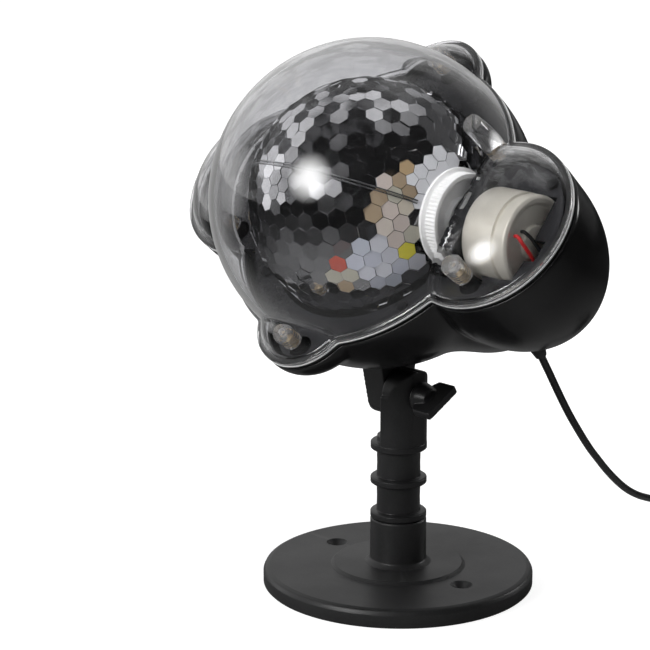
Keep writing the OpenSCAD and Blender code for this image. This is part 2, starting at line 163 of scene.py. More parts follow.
def smooth_path(points, parts):
    """Points on a smooth curve through the given ones."""
    pts = [Vector(p) for p in points]
    pts = [2 * pts[0] - pts[1]] + pts + [2 * pts[-1] - pts[-2]]
    out = []
    for i in range(1, len(pts) - 2):
        a, b, c, d = pts[i - 1:i + 3]
        for k in range(parts):
            t = k / parts
            out.append(0.5 * (2 * b + (c - a) * t + (2 * a - 5 * b + 4 * c - d) * t * t
                              + (3 * b - a - 3 * c + d) * t ** 3))
    return out + [pts[-2]]


def piece(name, shape, material, body=None, where=None, sharp=35, stands_for=()):
    """Makes the mesh object, in metres, outward faces, and puts it on its body."""
    matrix = Matrix.Scale(MM, 4) @ (where or Matrix())
    mesh = bpy.data.meshes.new(name)
    mesh.from_pydata([matrix @ Vector(p) for p in shape[0]], [], shape[1])
    bm = bmesh.new()
    bm.from_mesh(mesh)
    bmesh.ops.remove_doubles(bm, verts=bm.verts, dist=1e-7)
    bmesh.ops.recalc_face_normals(bm, faces=bm.faces)
    bm.to_mesh(mesh)
    bm.free()
    mesh.shade_smooth()
    mesh.set_sharp_from_angle(angle=math.radians(sharp))
    obj = bpy.data.objects.new(name, mesh)
    bpy.context.collection.objects.link(obj)
    if material:
        mesh.materials.append(material)
    if body:
        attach(obj, body)
    if stands_for:
        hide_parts(*stands_for)
    return obj


def baked(obj):
    """Applies the object's modifiers to its mesh."""
    bpy.context.view_layer.update()
    graph = bpy.context.evaluated_depsgraph_get()
    mesh = bpy.data.meshes.new_from_object(obj.evaluated_get(graph))
    obj.modifiers.clear()
    obj.data = mesh
    return obj


def combine(obj, shape, operation, where=None):
    """Adds, cuts or keeps the overlap of another shape."""
    other = piece("tool", shape, None, where=where)
    mod = obj.modifiers.new("combine", "BOOLEAN")
    mod.operation, mod.solver, mod.object = operation, "EXACT", other
    baked(obj)
    bpy.data.objects.remove(other)
    return obj


def softened(obj, voxel, rounds):
    """Remeshes a machined shape and smooths it, so that its edges round like a moulding's."""
    mod = obj.modifiers.new("remesh", "REMESH")
    mod.mode, mod.voxel_size, mod.use_smooth_shade = "VOXEL", voxel * MM, True
    mod = obj.modifiers.new("smooth", "SMOOTH")
    mod.factor, mod.iterations = 0.5, rounds
    baked(obj)
    obj.data.shade_smooth()
    return obj


def settled(obj, material, body, slot, *nodes):
    """Gives a finished mesh its material and body, and hides the CAD nodes that it stands for; the slot is not used.
    """
    if material:
        obj.data.materials.append(material)
    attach(obj, body)
    if nodes:
        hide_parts(*nodes)


def rod(radius, low, high, steps=32):
    """A solid rod along the hinge axis, from one x to another."""
    return moved(lathe([(0, low), (radius, low), (radius, high), (0, high)], steps), HINGE @ ALONG_X)


def box(low, high):
    """A solid box between two opposite corners."""
    (a, b, c), (d, e, f) = low, high
    points = [(a, b, c), (d, b, c), (d, e, c), (a, e, c), (a, b, f), (d, b, f), (d, e, f), (a, e, f)]
    return points, [(3, 2, 1, 0), (4, 5, 6, 7), (0, 1, 5, 4), (1, 2, 6, 5), (2, 3, 7, 6), (3, 0, 4, 7)]


# ---------- materials ----------
class Nodes:
    """A small helper round a node tree of a material, a light or the world."""

    def __init__(self, tree):
        self.tree, self.coords = tree, None

    def add(self, kind, links=None, **values):
        node = self.tree.nodes.new(kind)
        for key, value in values.items():
            setattr(node, key, value)
        for key, value in (links or {}).items():
            self.put(node, key, value)
        return node

    def put(self, node, key, value):
        """Links a socket, or sets its value."""
        socket = node.inputs[key]
        if isinstance(value, bpy.types.NodeSocket):
            self.tree.links.new(value, socket)
        else:
            socket.default_value = value

    def math(self, operation, a, b):
        return self.add("ShaderNodeMath", {0: a, 1: b}, operation=operation).outputs[0]

    def along(self, way, direction):
        """How far a vector looks along a direction."""
        return self.add("ShaderNodeVectorMath", {0: way, 1: direction}, operation="DOT_PRODUCT").outputs["Value"]

    def blended(self, fac, first, second):
        """Mixes two shader nodes."""
        return self.add("ShaderNodeMixShader", {0: fac, 1: first.outputs[0], 2: second.outputs[0]})

    def place(self):
        """The point on the object, in metres."""
        if not self.coords:
            self.coords = self.add("ShaderNodeTexCoord").outputs["Object"]
        return self.coords

    def noise(self, scale, detail=2.0, rough=0.5, stretch=None):
        vector = self.place()
        if stretch:
            vector = self.add("ShaderNodeMapping", {"Vector": vector, "Scale": stretch}).outputs[0]
        return self.add("ShaderNodeTexNoise", {"Vector": vector, "Scale": scale, "Detail": detail,
                                               "Roughness": rough}).outputs["Fac"]

    def ramp(self, value, low, high, to_low, to_high):
        return self.add("ShaderNodeMapRange", {"Value": value, "From Min": low, "From Max": high,
                                               "To Min": to_low, "To Max": to_high}).outputs[0]

    def mix(self, fac, a, b):
        """Mixes two colours: 0, 6 and 7 are the sockets of the colour mode."""
        node = self.add("ShaderNodeMix", data_type="RGBA")
        for index, value in ((0, fac), (6, a), (7, b)):
            self.put(node, index, value)
        return node.outputs[2]

    def bump(self, height, strength, distance):
        return self.add("ShaderNodeBump", {"Height": height, "Strength": strength,
                                           "Distance": distance}).outputs[0]


class Shader(Nodes):
    """A new material and its node tree."""

    def __init__(self, name):
        self.material = bpy.data.materials.new(name)
        self.material.use_nodes = True
        super().__init__(self.material.node_tree)
        self.tree.nodes.clear()
        self.out = self.add("ShaderNodeOutputMaterial")

    def show(self, node):
        self.tree.links.new(node.outputs[0], self.out.inputs[0])

    def principled(self, **links):
        node = self.add("ShaderNodeBsdfPrincipled", {k.replace("_", " "): v for k, v in links.items()})
        self.show(node)
        return node


MICRON = 0.000001
PLASTIC_INDEX = 1.58


def grey(v, tint=(1, 1, 1)):
    return (v * tint[0], v * tint[1], v * tint[2], 1)


def shade(colour, times, plus=0.0):
    """A colour made lighter or darker."""
    return tuple(min(1, c * times + plus) for c in colour[:3]) + (1,)


def moulded(name, colour, rough, grain=1500, grain_depth=20, wear=0.0):
    """Moulded plastic or rubber: fine grain, slow changes of sheen, and paler worn edges."""
    s = Shader(name)
    broad = s.noise(38, 4, 0.6)
    fine = s.noise(grain, 3, 0.6)
    base = s.mix(s.ramp(broad, 0.3, 0.7, 0, 1), shade(colour, 0.82), shade(colour, 1.2))
    base = s.mix(s.ramp(fine, 0.45, 0.75, 0, 0.25), base, shade(colour, 1.9, 0.01))
    if wear:
        edge = s.add("ShaderNodeNewGeometry").outputs["Pointiness"]
        base = s.mix(s.ramp(edge, 0.52, 0.62, 0, wear), base, shade(colour, 3, 0.03))
    roughness = s.ramp(s.mix(0.35, broad, fine), 0.3, 0.7, rough - 0.06, rough + 0.08)
    s.principled(Base_Color=base, Roughness=roughness, Normal=s.bump(fine, 0.55, grain_depth * MICRON))
    return s.material


def metal(name, colour, rough, brush=(1, 1, 1), scale=600, metallic=1.0):
    """Metal with fine brushing along one direction and patches of duller surface."""
    s = Shader(name)
    lines = s.noise(scale, 3, 0.6, stretch=brush)
    patches = s.noise(60, 3, 0.55)
    base = s.mix(s.ramp(patches, 0.35, 0.7, 0, 1), colour, shade(colour, 0.86))
    s.principled(Base_Color=base, Metallic=metallic,
                 Roughness=s.ramp(s.mix(0.5, lines, patches), 0.3, 0.7, rough * 0.75, rough * 1.3),
                 Normal=s.bump(lines, 0.35, 6 * MICRON))
    return s.material


def clear(name, face, edge, rough=0.015, milk=0.0, bloom=0.0):
    """Clear plastic: shadow rays pass it, and a slanting look through it is greyer, then milky by bloom."""
    s = Shader(name)
    facing = s.add("ShaderNodeLayerWeight", {"Blend": 0.35}).outputs["Facing"]
    base = s.mix(s.ramp(facing, 0.14, 0.27, 0, 1), face, edge)
    node = s.principled(Base_Color=base, Roughness=rough, IOR=PLASTIC_INDEX, Transmission_Weight=1.0 - milk,
                        Normal=s.bump(s.noise(22, 3, 0.5), 0.3, 6 * MICRON))
    if bloom:
        milky = s.add("ShaderNodeBsdfDiffuse", {"Color": grey(0.8)})
        node = s.blended(s.ramp(facing, 0.34, 0.9, 0, bloom), node, milky)
    through = s.add("ShaderNodeBsdfTransparent", {"Color": grey(0.93)})
    s.show(s.blended(s.add("ShaderNodeLightPath").outputs["Is Shadow Ray"], node, through))
    return s.material


def mirror_film(name):
    """Vacuum-plated facets: each has its own tint and haze, with faint plating marks; the tints of some facets are
    painted reflections.
    """
    s = Shader(name)
    tint = s.add("ShaderNodeAttribute", attribute_name="facet_tint_and_painted_reflection").outputs["Color"]
    haze = s.add("ShaderNodeAttribute", attribute_name="facet_haze").outputs["Fac"]
    marks = s.noise(260, 4, 0.65)
    rough = s.math("ADD", s.ramp(haze, 0, 1, 0.04, 0.34), s.ramp(marks, 0.4, 0.8, 0.0, 0.05))
    s.principled(Base_Color=s.mix(s.ramp(marks, 0.5, 0.8, 0, 0.12), tint, grey(0.35)),
                 Metallic=s.ramp(haze, 0, 1, 1.0, 0.25), Roughness=rough,
                 Normal=s.bump(s.noise(90, 2), 0.2, 8 * MICRON))
    return s.material


BLACK = moulded("satin_black_plastic", grey(0.017, (1, 1, 1.04)), 0.36, wear=0.35)
BASE_BLACK = moulded("satin_base_plastic", grey(0.02, (1, 1, 1.03)), 0.42, wear=0.3, grain=1100)
SHELL_BLACK = moulded("gloss_housing_plastic", grey(0.010, (1, 1, 1.05)), 0.20, grain=900, grain_depth=6)
INNER_BLACK = moulded("inner_gloss_plastic", grey(0.014, (1, 1, 1.1)), 0.16, grain=700, grain_depth=4)
PANEL_BLACK = moulded("panel_plastic", grey(0.02, (1, 1, 1.1)), 0.2, grain=700, grain_depth=4)
# A pale colour for the cover's lower edge: a painted highlight for the light caught along the rim
PAINTED_HIGHLIGHT_LIP = moulded("painted_highlight_lip_edge", grey(0.75), 0.3, grain=900, grain_depth=4)
RUBBER = moulded("seal_silicone", grey(0.012), 0.5, grain=1300)
LEAD = moulded("lead_jacket", grey(0.013, (1, 1, 1.03)), 0.26, grain=2200, grain_depth=10)
PLUG = moulded("plug_moulding", grey(0.012), 0.3, grain=1500, grain_depth=10)
BOARD_GREEN = moulded("green_solder_mask", (0.02, 0.13, 0.045, 1), 0.3, grain=500)
BOARD_WHITE = moulded("white_solder_mask", grey(0.75), 0.35, grain=500)
CASES = moulded("component_cases", grey(0.03), 0.4, grain=900)
WIRE_RED = moulded("red_wire_insulation", (0.42, 0.012, 0.014, 1), 0.35, grain=1500, grain_depth=6)
WIRE_BLACK = moulded("black_wire_insulation", grey(0.012), 0.35, grain=1500, grain_depth=6)
WIRE_WHITE = moulded("white_wire_insulation", grey(0.7), 0.35, grain=1500, grain_depth=6)
HUB_SILVER = metal("silver_plating", (0.86, 0.87, 0.88, 1), 0.2, scale=300)
HUB_WHITE = moulded("pearl_white_plastic", grey(0.82, (1, 1, 0.99)), 0.28, grain=700, grain_depth=4)
MOTOR = metal("cream_nickel_can", (0.93, 0.89, 0.79, 1), 0.34, brush=(1, 14, 14), scale=90, metallic=0.6)
BLACK_STEEL = metal("blackened_steel", (0.05, 0.05, 0.052, 1), 0.35)
STEEL = metal("zinc_steel", (0.58, 0.58, 0.57, 1), 0.3)
BRASS = metal("brass", (0.68, 0.52, 0.30, 1), 0.34)
ALU = metal("bare_aluminium", (0.66, 0.67, 0.68, 1), 0.32, brush=(12, 1, 1), scale=200)
NICKEL = metal("nickel_contact", (0.75, 0.74, 0.7, 1), 0.16, scale=500)
CLEAR = clear("clear_polycarbonate", grey(0.92, (1, 1, 1.01)), grey(0.56, (1, 1, 1.03)), bloom=0.55)
CLEAR_POST = clear("clear_posts", grey(0.96), grey(0.85), rough=0.12, milk=0.1)
LENS = clear("lamp_silicone", (0.97, 0.96, 0.85, 1), grey(0.8), rough=0.05)
MIRROR = mirror_film("mirror_film")


# ---------- camera ----------
lens = bpy.data.cameras.new("camera")
lens.sensor_width, lens.lens = 36, 138.46
camera = bpy.data.objects.new("camera", lens)
camera.matrix_world = Matrix(((0.69654, -0.18002, 0.69457, 0.65992), (0.71752, 0.17475, -0.67426, -0.68143),
                              (0, 0.96802, 0.25089, 0.35185), (0, 0, 0, 1)))
bpy.context.collection.objects.link(camera)
bpy.context.scene.camera = camera


# ---------- lead: from the gland down to the tied coil and its plug ----------
GLAND, GLAND_RUN = Vector((57.9, 15.2, 105.8)), Vector((-0.1, 0.58, -0.81)).normalized()
CORD_D, PITCH = 3.0, 3.05
GLAND_TIP = 5.3
ROUTE = [
    (56.7, 21.6, 97.2), (56.2, 24.6, 93.3), (55.7, 28.1, 88.4), (55.2, 32, 83), (54.6, 36.2, 77.4),
    (54, 40.6, 71.8), (53.1, 45.8, 65.9), (51.9, 51.4, 60), (50.5, 57.6, 53.9), (49, 64.4, 47.9),
    (47.2, 71.6, 41.8), (45.1, 79.4, 35.9), (42.9, 87.6, 30.2), (40.6, 96, 25.2), (38.1, 104.8, 20.8),
    (35.2, 113.8, 17), (31.8, 123, 13.4), (28.2, 132.4, 10.2), (24.2, 142, 7.2), (20, 152, 4.7),
    (16, 162, 2.6), (12.4, 172, 1.8), (9.9, 180, 1.6),
]
TAIL = [(46.5, 211.2, 9.4), (57.5, 209.2, 6.2), (67.5, 204.8, 3.6), (75, 198, 2.7), (80.4, 190, 3.6),
        (82.4, 181, 5)]
COIL_X, COIL_Y, COIL_OUT, COIL_IN, LAYER_Z, ACROSS = 34.7, 186, 25.6, 10.35, 1.55, 5


def coil_path(per_turn=28):
    """23 and a quarter turns, in four layers that wind in and out by turns."""
    out = []

    def at(turn, r, z):
        a = math.pi - 2 * math.pi * turn
        out.append(Vector((COIL_X + r * math.cos(a), COIL_Y + r * math.sin(a), z)))

    turn = 0
    for layer in range(4):
        inward = layer % 2 == 0
        start = COIL_OUT if inward else COIL_IN
        step = -PITCH if inward else PITCH
        z = LAYER_Z + PITCH * layer
        for k in range(ACROSS * per_turn):
            whole, part = divmod(k / per_turn, 1)
            at(turn + k / per_turn, start + step * (whole + math.sin(part * math.pi / 2)), z)
        turn += ACROSS
        end = COIL_IN if inward else COIL_OUT
        if layer < 3:
            for k in range(per_turn):
                at(turn + k / per_turn, end, z + PITCH * (1 - math.cos(k / per_turn * math.pi / 2)))
            turn += 1
        else:
            for k in range(per_turn // 4 + 1):
                at(turn + k / per_turn, end, z)
    return out


EXIT = GLAND + GLAND_RUN * GLAND_TIP
lead_path = smooth_path([EXIT] + ROUTE, 3) + coil_path() + smooth_path(TAIL, 3)
cord = piece("lead", sweep(lead_path, CORD_D / 2, 14), LEAD, sharp=60)
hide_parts("cord", "cord_coil", "cord_tail")

# Tie: a flat strap round one side of the coil
TIE_X, TIE_W, TIE_H = COIL_X + 17.975, 18.3, 12.2
STRAP, LIFT = 0.22, 0.25
half = TIE_W / 2 + 0.35
strap_line = rounded([(-half, 3), (-half, TIE_H + 0.55, 3), (half, TIE_H + 0.55, 3), (half, 0.1, 2),
                      (-half, 0.1, 2), (-half, 3)], 6)
rings = []
for x, z in strap_line[:-1]:
    nx, nz = x / half, (z - TIE_H / 2) / (TIE_H / 2)
    size = math.hypot(nx, nz) or 1
    nx, nz = nx / size * STRAP, nz / size * STRAP
    rings.append([(x + nx, -2.2, z + nz + LIFT), (x + nx, 2.2, z + nz + LIFT), (x - nx, 2.4, z - nz + LIFT),
                  (x - nx, -2.4, z - nz + LIFT)])
strap = moved(loft(rings, closed=True), Matrix.Translation((TIE_X, COIL_Y, 0)))
tie = piece("coil_strap", strap, RUBBER, "stand", stands_for=["coil_tie"])

# Plug: ribbed grip, collar and a hollow barrel, lying beside the coil and pointing back along -Y
PLUG_AT = Matrix.Translation((82.5, 181, 5)) @ Matrix.Rotation(math.pi / 2, 4, "X")


def grip(angle, r, z):
    ribs = 0.25 * (0.5 + 0.5 * math.cos(24 * angle)) if 8 < z < 19 else 0
    return r - ribs


GRIP = [(0, 0), (2.3, 0, 0.3), (2.7, 2.4, 0.4), (2.5, 2.6, 0.1), (3, 3.8, 0.4), (2.9, 4, 0.1), (3.9, 5.4, 0.8),
        (5, 6.6, 0.8), (5, 8), (5, 9), (5, 12), (5, 15), (5, 18.5), (5, 19.5), (5, 21.6, 0.8), (4.2, 22, 0.3),
        (0, 22)]
CONTACT = [(1.05, 22), (2.75, 22), (2.75, 31.4, 0.4), (1.2, 31.5, 0.3), (1.05, 31.2)]
plug = piece("plug_grip", lathe(GRIP, 96, grip), PLUG, "stand", where=PLUG_AT,
             stands_for=["plug_body"])
barrel = piece("plug_contact", ring_lathe(CONTACT, 48), NICKEL, "stand", where=PLUG_AT,
               stands_for=["plug_barrel"])


# ---------- lobed forms: how far a ray from a point in the head goes ----------
# The seam's outline: the bowl, the side lobes and the ears; the clear cover's walls are a little inside it
BOWL_R, LOBE_X, LOBE_R, EAR_U, EAR_R = 62.9, 60.5, 35.1, 51.6, 22.1
DOME_R, CLEAR_LOBE_R, CLEAR_EAR_R = 61.8, 33.9, 20.9
SHELL_T, COVER_T = 2.4, 1.8
RIM_BLEND, CLEAR_BLEND, DEEP_BLEND = 1.6, 1.4, 7.0
ROUND = 480
AZ = np.linspace(0, 2 * math.pi, ROUND, endpoint=False)


def ball_form(n, r):
    return lambda p: np.sqrt(p[0] ** 2 + p[1] ** 2 + (p[2] - n) ** 2) - r


def lobe_form(x, u, r, depth, straight=0.0, lean=0.0, up=1):
    """A straight wall and then half an ellipse of a given depth; up is 1 in front, -1 behind."""
    c, s = math.cos(lean), math.sin(lean)

    def level(p):
        a, b, h = p[0] - x, p[1] - u, p[2] - SEAM
        a, h = a * c - h * s, a * s + h * c
        h = h * up
        rho = np.hypot(a, b)
        body = (np.hypot(rho / r, (h - straight) / depth) - 1) * r
        return np.where(h > straight, body, rho - r)
    return level


def egg_form(middle, radii):
    return lambda p: (np.sqrt(sum(((p[i] - middle[i]) / radii[i]) ** 2 for i in range(3))) - 1) * radii[0]


def rear_forms(g):
    """The housing, drawn in by g: bowl, deep leaning side bulbs, the webs between them, and ears."""
    forms = [ball_form(SEAM, BOWL_R - g)]
    for s in SIDES:
        forms.append(lobe_form(s * LOBE_X, 0, LOBE_R - g, 50.5 - g, 12.8, math.radians(s * 6), -1))
        forms.append(egg_form((s * 30, -3, -20), (34 - g, 33 - g, 58 - g)))
        forms.append(lobe_form(0, s * EAR_U, EAR_R - g, 16.5 - g, 1, 0, -1))
    return forms


def front_forms(g):
    """The clear cover, drawn in by g: dome, shallow side lobes and ears."""
    forms = [ball_form(0, DOME_R - g)]
    for s in SIDES:
        forms.append(lobe_form(s * LOBE_X, 0, CLEAR_LOBE_R - g, 19.5 - g))
        forms.append(lobe_form(0, s * EAR_U, CLEAR_EAR_R - g, 15.5 - g))
    return forms


def rim_forms():
    """The flat outline at the seam, as upright walls."""
    def wall(x, u, r):
        return lambda p: np.hypot(p[0] - x, p[1] - u) - r
    return ([wall(0, 0, BOWL_R)] + [wall(s * LOBE_X, 0, LOBE_R) for s in SIDES]
            + [wall(0, s * EAR_U, EAR_R) for s in SIDES])


def reach(forms, origin, ways, blend):
    """Distance along each way to the far side of the forms' smooth union."""
    origin, ways = np.array(origin, float).reshape(3, 1), np.array(ways, float)
    total = None
    ts = np.linspace(0, 130, 79)
    for form in forms:
        inside = np.array([form(origin + ways * t) <= 0 for t in ts])
        last = np.where(inside.any(0), len(ts) - 1 - inside[::-1].argmax(0), 0)
        low, high = ts[last], ts[np.minimum(last + 1, len(ts) - 1)]
        for _ in range(22):
            mid = (low + high) / 2
            within = form(origin + ways * mid) <= 0
            low, high = np.where(within, mid, low), np.where(within, high, mid)
        far = np.where(inside.any(0), (low + high) / 2, 0.0)
        if total is None:
            total = far
        else:
            h = np.clip(0.5 + 0.5 * (total - far) / blend, 0, 1)
            total = far + h * (total - far) + blend * h * (1 - h)
    return total


def level_ring(forms, n, blend, inset=0.0, height=None):
    """The outline of the forms at one level, drawn in by an inset and shown at a height."""
    ways = np.array([np.cos(AZ), np.sin(AZ), np.zeros(ROUND)])
    r = reach(forms, (0, 0, n), ways, blend) - inset
    z = n if height is None else height
    return [(r[i] * math.cos(AZ[i]), r[i] * math.sin(AZ[i]), z) for i in range(ROUND)]


def dome_rings(forms, n, up, first, count, blend, deep_blend=None):
    """Rings over the forms from the first elevation to the pole; up is 1 in front, -1 behind."""
    rings = []
    for j in range(count + 1):
        e = math.radians(first + (90 - first) * (j / count) ** 1.4)
        k = blend + ((deep_blend or blend) - blend) * min(1, e / 0.9)
        if j == count:
            r = reach(forms, (0, 0, n), np.array([[0.0], [0.0], [float(up)]]), k)
            rings.append([(0, 0, n + up * r[0])])
            continue
        ways = np.array([np.cos(AZ) * math.cos(e), np.sin(AZ) * math.cos(e), np.full(ROUND, up * math.sin(e))])
        r = reach(forms, (0, 0, n), ways, k)
        rings.append([tuple(np.array([0, 0, n]) + ways[:, i] * r[i]) for i in range(ROUND)])
    return rings


def rim_rings(n, steps):
    """Rings of the seam's outline at the level n, each with its inset and its height over n."""
    return [level_ring(rim_forms(), n, RIM_BLEND, inset, n + rise) for inset, rise in steps]


def height_under(forms, x, u, n):
    """The forms' height over a point of the face, from the level n."""
    return n + float(reach(forms, (x, u, n), np.array([[0.0], [0.0], [1.0]]), 0.01)[0])


# ---------- rear housing: lobed black shell with a rolled rim ----------
rings = dome_rings(rear_forms(0), SEAM, -1, 1.0, 84, RIM_BLEND, DEEP_BLEND)[::-1]
rings += rim_rings(SEAM, ((0, -0.55), (0.08, -0.25), (0.25, -0.08), (0.5, 0), (2.0, 0), (2.25, -0.1),
                          (SHELL_T, -0.4)))
rings += dome_rings(rear_forms(SHELL_T), SEAM, -1, 1.6, 60, RIM_BLEND, DEEP_BLEND)
piece("rear_shell", loft(rings), SHELL_BLACK, "head", HEAD, sharp=50, stands_for=["rear_housing"])

# ---------- seal in the groove between housing and cover ----------
rings = rim_rings(SEAM, ((3.2, 0.05), (1.4, 0.05), (1.0, 0.2), (0.85, 0.7), (0.95, 1.2), (0.85, 1.7), (1.0, 2.2),
                         (1.4, 2.35), (3.2, 2.35)))
piece("rim_seal", loft(rings, closed=True), RUBBER, "head", HEAD, sharp=60,
      stands_for=["seal_ring"])

# ---------- clear cover: one moulding, dome, side lobes, ears and a flange ----------
LIP = SEAM + GROOVE
cover_out, cover_in = front_forms(0), front_forms(COVER_T)
rings = dome_rings(cover_out, LIP, 1, 3.6, 88, CLEAR_BLEND)[::-1]
rings += [level_ring(cover_out, LIP + h, CLEAR_BLEND, -a) for h, a in ((3.2, 0), (2.8, 0.08), (2.5, 0.35))]
rings += rim_rings(LIP, ((0.55, 2.4), (0.25, 2.33), (0.06, 2.12), (0, 1.8), (0, 0.5), (0.08, 0.22), (0.25, 0.07),
                         (0.5, 0)))
rings += [level_ring(cover_in, LIP, CLEAR_BLEND, -0.4), level_ring(cover_in, LIP + 0.3, CLEAR_BLEND)]
rings += dome_rings(cover_in, LIP, 1, 1.2, 80, CLEAR_BLEND)
piece("dome_cover", loft(rings), CLEAR, "head", HEAD, sharp=60, stands_for=["clear_cover"])

# A painted highlight: a pale ring at the cover's lower edge, which shows as a thin pale line
lip = rim_rings(LIP, ((-0.1, -0.15), (-0.1, 0.4), (0.3, 0.4), (0.3, -0.15)))
piece("cover_lip_painted_highlight", loft(lip, closed=True), PAINTED_HIGHLIGHT_LIP, "head", HEAD, sharp=40)

# ---------- screw posts of the cover, the brass screws that cut into them, and the housing's bosses ----------
# Each post's place on the face, and the most that it stands over the seam
POSTS = [(0, 63, 22), (0, -63, 22), (-64, -23, 8), (62, -22, 22), (48, 29, 22), (-48, 29, 8)]
BORE, BORE_TOP, CORE, THREAD_PITCH = 1.62, LIP + 7, 1.2, 1.2
posts, threads, bosses = [], [], []
for x, u, tallest in POSTS:
    top = min(height_under(cover_in, x, u, LIP) - 0.12, LIP + tallest)
    at = Matrix.Translation((x, u, 0))
    post = [(BORE, LIP + 0.1), (3.6, LIP + 0.1, 0.2), (3.9, LIP + 2.5, 0.5), (4.1, top - 1.2, 0.6),
            (3.2, top, 0.5), (0.02, top, 0.1), (0.02, BORE_TOP, 0.1), (BORE, BORE_TOP, 0.3)]
    posts.append(moved(ring_lathe(post, 40), at))
    turns = [(0, SEAM - 14), (2.7, SEAM - 14, 0.4), (2.7, SEAM - 12.4, 0.5), (1.5, SEAM - 12, 0.2)]
    z = SEAM - 11.5
    while z < LIP + 5.2:
        crest = 1.9 if z > LIP else 1.5
        turns += [(CORE, z), (crest, z + 0.35), (crest, z + 0.5), (CORE, z + 0.85)]
        z += THREAD_PITCH
    turns += [(0.9, z), (0, z + 0.5)]
    threads.append(moved(lathe(turns, 24), at))
    boss = [(1.7, SEAM - 11.4), (3.1, SEAM - 11.4, 0.2), (3.1, LIP - 0.1, 0.3), (1.7, LIP - 0.1, 0.1)]
    bosses.append(moved(ring_lathe(boss, 32), at))
piece("cover_posts", joined(*posts), CLEAR_POST, "head", HEAD, sharp=40)
piece("screw_bosses", joined(*bosses), SHELL_BLACK, "head", HEAD, sharp=40)
piece("post_threads", joined(*threads), BRASS, "head", HEAD, sharp=30, stands_for=["cover_screws"])

# ---------- mirror ball: 812 flat facets in two halves ----------
BALL_R, BALL_T, BALL_CUT, SPLIT = 47.0, 1.6, 43.4, math.radians(17)
# How deep the grooves and the facets lie, how much of its cell a facet fills, and how unevenly facets lean
GROOVE_IN, FACET_IN, FILL, LEAN = 0.26, 0.22, 0.965, 0.055
SPLIT_ALONG = Vector((0, -math.sin(SPLIT), math.cos(SPLIT)))
SPLIT_ACROSS = Vector((0, math.cos(SPLIT), math.sin(SPLIT)))


def goldberg(freq):
    """Cells of a hexagon-tiled sphere: each cell's middle and its corners in order."""
    g = (1 + 5 ** 0.5) / 2
    base = [Vector(p).normalized() for p in
            ((-1, g, 0), (1, g, 0), (-1, -g, 0), (1, -g, 0), (0, -1, g), (0, 1, g),
             (0, -1, -g), (0, 1, -g), (g, 0, -1), (g, 0, 1), (-g, 0, -1), (-g, 0, 1))]
    tris = [(0, 11, 5), (0, 5, 1), (0, 1, 7), (0, 7, 10), (0, 10, 11), (1, 5, 9), (5, 11, 4), (11, 10, 2),
            (10, 7, 6), (7, 1, 8), (3, 9, 4), (3, 4, 2), (3, 2, 6), (3, 6, 8), (3, 8, 9), (4, 9, 5),
            (2, 4, 11), (6, 2, 10), (8, 6, 7), (9, 8, 1)]
    index, points, small = {}, [], []
    for a, b, c in tris:
        grid = {}
        for i in range(freq + 1):
            for j in range(freq + 1 - i):
                p = (base[a] * (freq - i - j) + base[b] * i + base[c] * j).normalized()
                key = tuple(round(q, 5) + 0.0 for q in p)
                if key not in index:
                    index[key] = len(points)
                    points.append(p)
                grid[i, j] = index[key]
        for i in range(freq):
            for j in range(freq - i):
                small.append((grid[i, j], grid[i + 1, j], grid[i, j + 1]))
                if i + j < freq - 1:
                    small.append((grid[i + 1, j], grid[i + 1, j + 1], grid[i, j + 1]))
    corners = [((points[a] + points[b] + points[c]) / 3).normalized() for a, b, c in small]
    around = [[] for _ in points]
    for k, tri in enumerate(small):
        for i in tri:
            around[i].append(k)
    cells = []
    for i, middle in enumerate(points):
        side = middle.orthogonal().normalized()
        other = middle.cross(side)
        order = sorted(around[i], key=lambda k: math.atan2(corners[k].dot(other), corners[k].dot(side)))
        cells.append((middle, order))
    return corners, cells


# Painted reflections: tinted facets that stand in for what the ball mirrors, in small groups towards the motor's
# side, and patches round the rest of the ball.
# A group is a direction, an angle round it, its tones, and the share of its facets that take one
PAINTED_COOL_REFLECTIONS = [(0.56, 0.58, 0.66), (0.60, 0.61, 0.67), (0.52, 0.55, 0.62), (0.62, 0.63, 0.68)]
PAINTED_WARM_REFLECTIONS = [(0.66, 0.60, 0.50), (0.70, 0.63, 0.56), (0.40, 0.31, 0.21), (0.50, 0.48, 0.40), (0.64, 0.56, 0.51)]
PAINTED_TAN_REFLECTIONS = [(0.52, 0.38, 0.22), (0.62, 0.50, 0.36), (0.74, 0.70, 0.62)]
PAINTED_WHITE_REFLECTIONS = [(0.88, 0.89, 0.92), (0.84, 0.85, 0.88)]
PAINTED_YELLOW_REFLECTION, PAINTED_RED_REFLECTION = [(0.78, 0.70, 0.08)], [(0.52, 0.12, 0.09)]
PAINTED_REFLECTION_GROUPS = [((0.885, -0.422, 0.202), 0.066, PAINTED_YELLOW_REFLECTION, 1), ((0.455, -0.756, 0.47), 0.066, PAINTED_RED_REFLECTION, 1),
          ((0.94, 0.11, 0.31), 0.27, PAINTED_WHITE_REFLECTIONS, 1), ((0.825, 0.15, 0.544), 0.13, PAINTED_TAN_REFLECTIONS, 0.85),
          ((0.807, -0.287, 0.517), 0.24, PAINTED_WARM_REFLECTIONS, 0.85), ((0.769, -0.584, 0.258), 0.26, PAINTED_COOL_REFLECTIONS, 0.95),
          ((0.93, -0.3, 0.2), 0.26, PAINTED_WARM_REFLECTIONS + PAINTED_COOL_REFLECTIONS, 0.7), ((0.5, -0.804, 0.322), 0.15, PAINTED_WARM_REFLECTIONS, 0.9),
          ((-0.5, 0.5, -0.7), 0.32, PAINTED_WARM_REFLECTIONS, 0.7), ((0.2, 0.75, -0.6), 0.3, PAINTED_COOL_REFLECTIONS, 0.7),
          ((-0.3, -0.9, -0.25), 0.3, PAINTED_COOL_REFLECTIONS, 0.7)]
